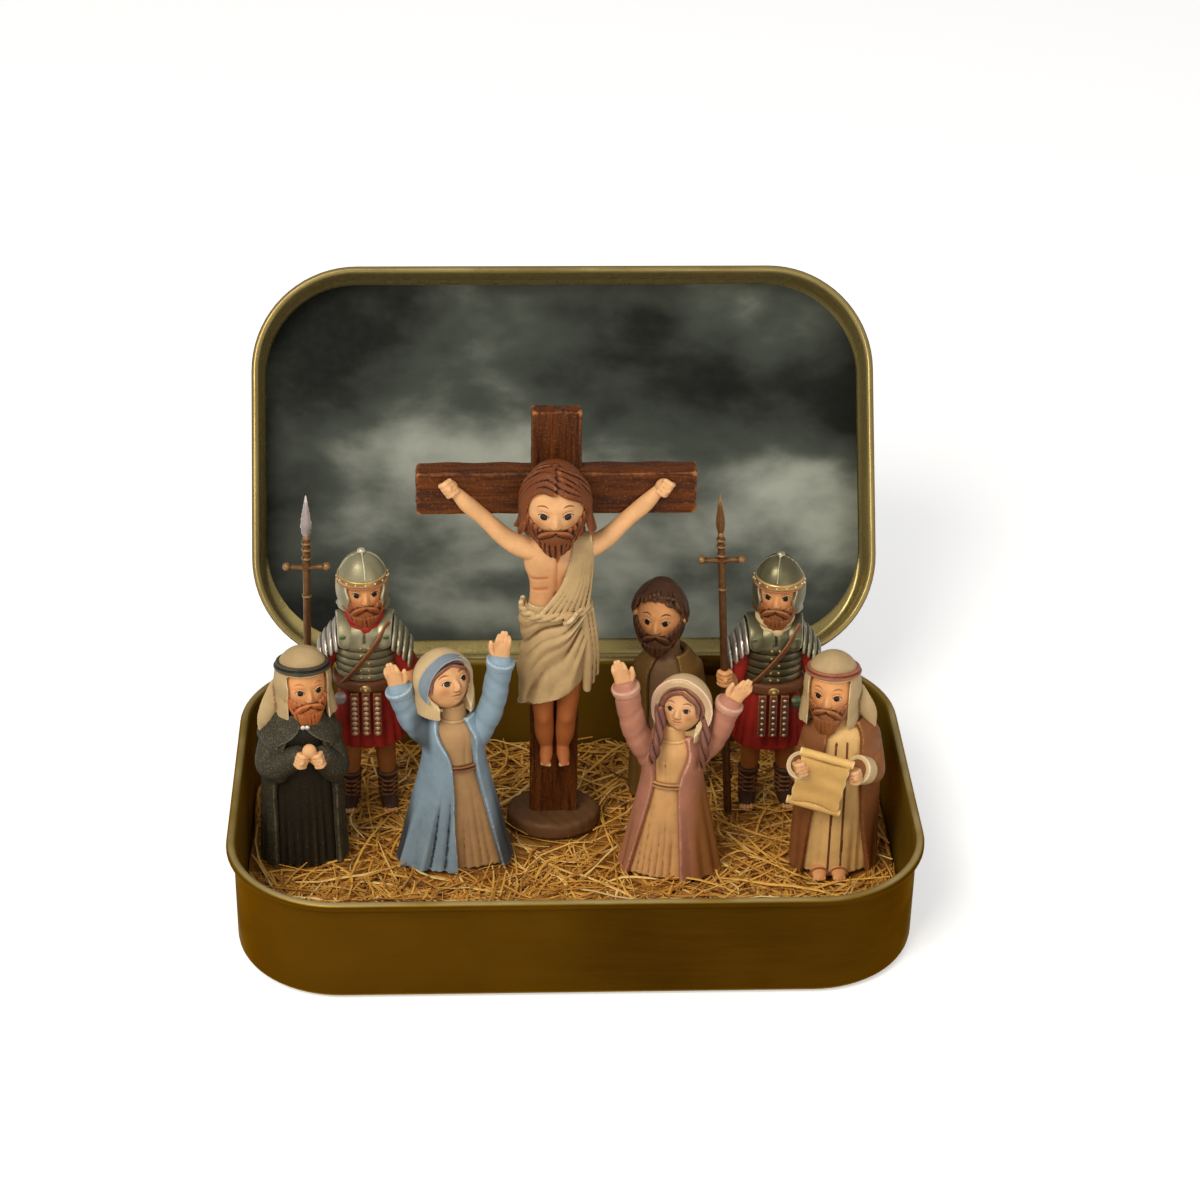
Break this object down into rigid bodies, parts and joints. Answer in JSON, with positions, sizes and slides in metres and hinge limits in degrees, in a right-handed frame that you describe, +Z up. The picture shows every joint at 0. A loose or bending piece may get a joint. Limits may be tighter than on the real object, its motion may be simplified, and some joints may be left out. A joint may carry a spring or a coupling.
{
  "type": "hinged tin with a figure scene",
  "caption": "Open hinged tin with rounded corners, a sky card in the lid, straw in the base and loose clay figures round a standing cross.",
  "frame": {"origin": "middle of the base tray's flat resting face", "axes": "+X along the tin to the right of someone who faces it, +Y from its front to the hinge, +Z up"},
  "size_m": [0.095, 0.1004, 0.0696],
  "materials": {
    "tinplate": "dark bronze lacquer, satin, lighter on the rims",
    "sky_print": "printed card with dark storm clouds",
    "straw": "golden dried straw",
    "cross_wood": "dark red-brown stain with worn edges",
    "earth": "brown clay foot",
    "skin": "painted clay, satin",
    "skin_ruddy": "painted clay, satin",
    "hair_brown": "painted clay with combed grooves",
    "cream_cloth": "painted clay, matte",
    "charcoal_cloth": "painted clay, matte, dry-brushed",
    "black_cloth": "painted clay, matte",
    "blue_cloth": "painted clay, matte",
    "rose_cloth": "painted clay, matte",
    "dress_cloth": "painted clay, matte",
    "leather_brown": "painted clay, satin",
    "olive_cloth": "painted clay, matte",
    "grey_cloth": "painted clay, matte",
    "brown_cloth": "painted clay, matte",
    "parchment": "painted clay, matte",
    "red_cloth": "painted clay, matte",
    "armour": "silver-olive paint with bright edges",
    "spear_metal": "brown-bronze paint"
  },
  "bodies": {
    "tin": {"tin_base": "tinplate", "straw_mat": "straw", "straw_bank": "straw"},
    "lid": {"tin_lid": "tinplate", "sky_card": "sky_print"},
    "crucifix": {"cross_foot": "earth", "cross_upright": "cross_wood", "cross_beam": "cross_wood", "crucified_body": "skin", "crucified_head": "skin", "crucified_hair": "hair_brown", "crucified_wrap": "cream_cloth"},
    "elder": {"elder_robe": "black_cloth", "elder_cloak": "charcoal_cloth", "elder_head": "skin_ruddy", "elder_scarf": "cream_cloth", "elder_band": "black_cloth", "elder_hands": "skin"},
    "blue_woman": {"blue_woman_dress": "dress_cloth", "blue_woman_cloak": "blue_cloth", "blue_woman_head": "skin", "blue_woman_veil": "cream_cloth", "blue_woman_belt": "leather_brown", "blue_woman_left_hand": "skin", "blue_woman_right_hand": "skin"},
    "rose_woman": {"rose_woman_dress": "dress_cloth", "rose_woman_cloak": "rose_cloth", "rose_woman_head": "skin", "rose_woman_veil": "cream_cloth", "rose_woman_hair": "hair_brown", "rose_woman_belt": "leather_brown", "rose_woman_left_hand": "skin", "rose_woman_right_hand": "skin"},
    "brother": {"brother_robe": "olive_cloth", "brother_tunic": "grey_cloth", "brother_head": "skin_ruddy", "brother_hair": "hair_brown"},
    "reader": {"reader_tunic": "cream_cloth", "reader_cloak": "brown_cloth", "reader_head": "skin_ruddy", "reader_scarf": "cream_cloth", "reader_band": "brown_cloth", "reader_scroll": "parchment", "reader_left_hand": "skin", "reader_right_hand": "skin"},
    "left_soldier": {"left_soldier_body": "red_cloth", "left_soldier_cuirass": "armour", "left_soldier_apron": "leather_brown", "left_soldier_head": "skin_ruddy", "left_soldier_helmet": "armour", "left_soldier_spear": "spear_metal"},
    "right_soldier": {"right_soldier_body": "red_cloth", "right_soldier_cuirass": "armour", "right_soldier_apron": "leather_brown", "right_soldier_head": "skin_ruddy", "right_soldier_helmet": "armour", "right_soldier_spear": "spear_metal"}
  },
  "joints": [
    {"name": "lid_hinge", "type": "hinge", "parent": "tin", "child": "lid", "pos_m": [0, 0.0298, 0.0156], "axis": [1, 0, 0], "range_deg": [0, 38]},
    {"name": "crucifix_lift", "type": "slide", "parent": "tin", "child": "crucifix", "axis": [0, 0, 1], "range_m": [0, 0.075]},
    {"name": "elder_lift", "type": "slide", "parent": "tin", "child": "elder", "axis": [0, 0, 1], "range_m": [0, 0.075]},
    {"name": "blue_woman_lift", "type": "slide", "parent": "tin", "child": "blue_woman", "axis": [0, 0, 1], "range_m": [0, 0.075]},
    {"name": "rose_woman_lift", "type": "slide", "parent": "tin", "child": "rose_woman", "axis": [0, 0, 1], "range_m": [0, 0.075]},
    {"name": "brother_lift", "type": "slide", "parent": "tin", "child": "brother", "axis": [0, 0, 1], "range_m": [0, 0.075]},
    {"name": "reader_lift", "type": "slide", "parent": "tin", "child": "reader", "axis": [0, 0, 1], "range_m": [0, 0.075]},
    {"name": "left_soldier_lift", "type": "slide", "parent": "tin", "child": "left_soldier", "axis": [0, 0, 1], "range_m": [0, 0.075]},
    {"name": "right_soldier_lift", "type": "slide", "parent": "tin", "child": "right_soldier", "axis": [0, 0, 1], "range_m": [0, 0.075]}
  ]
}
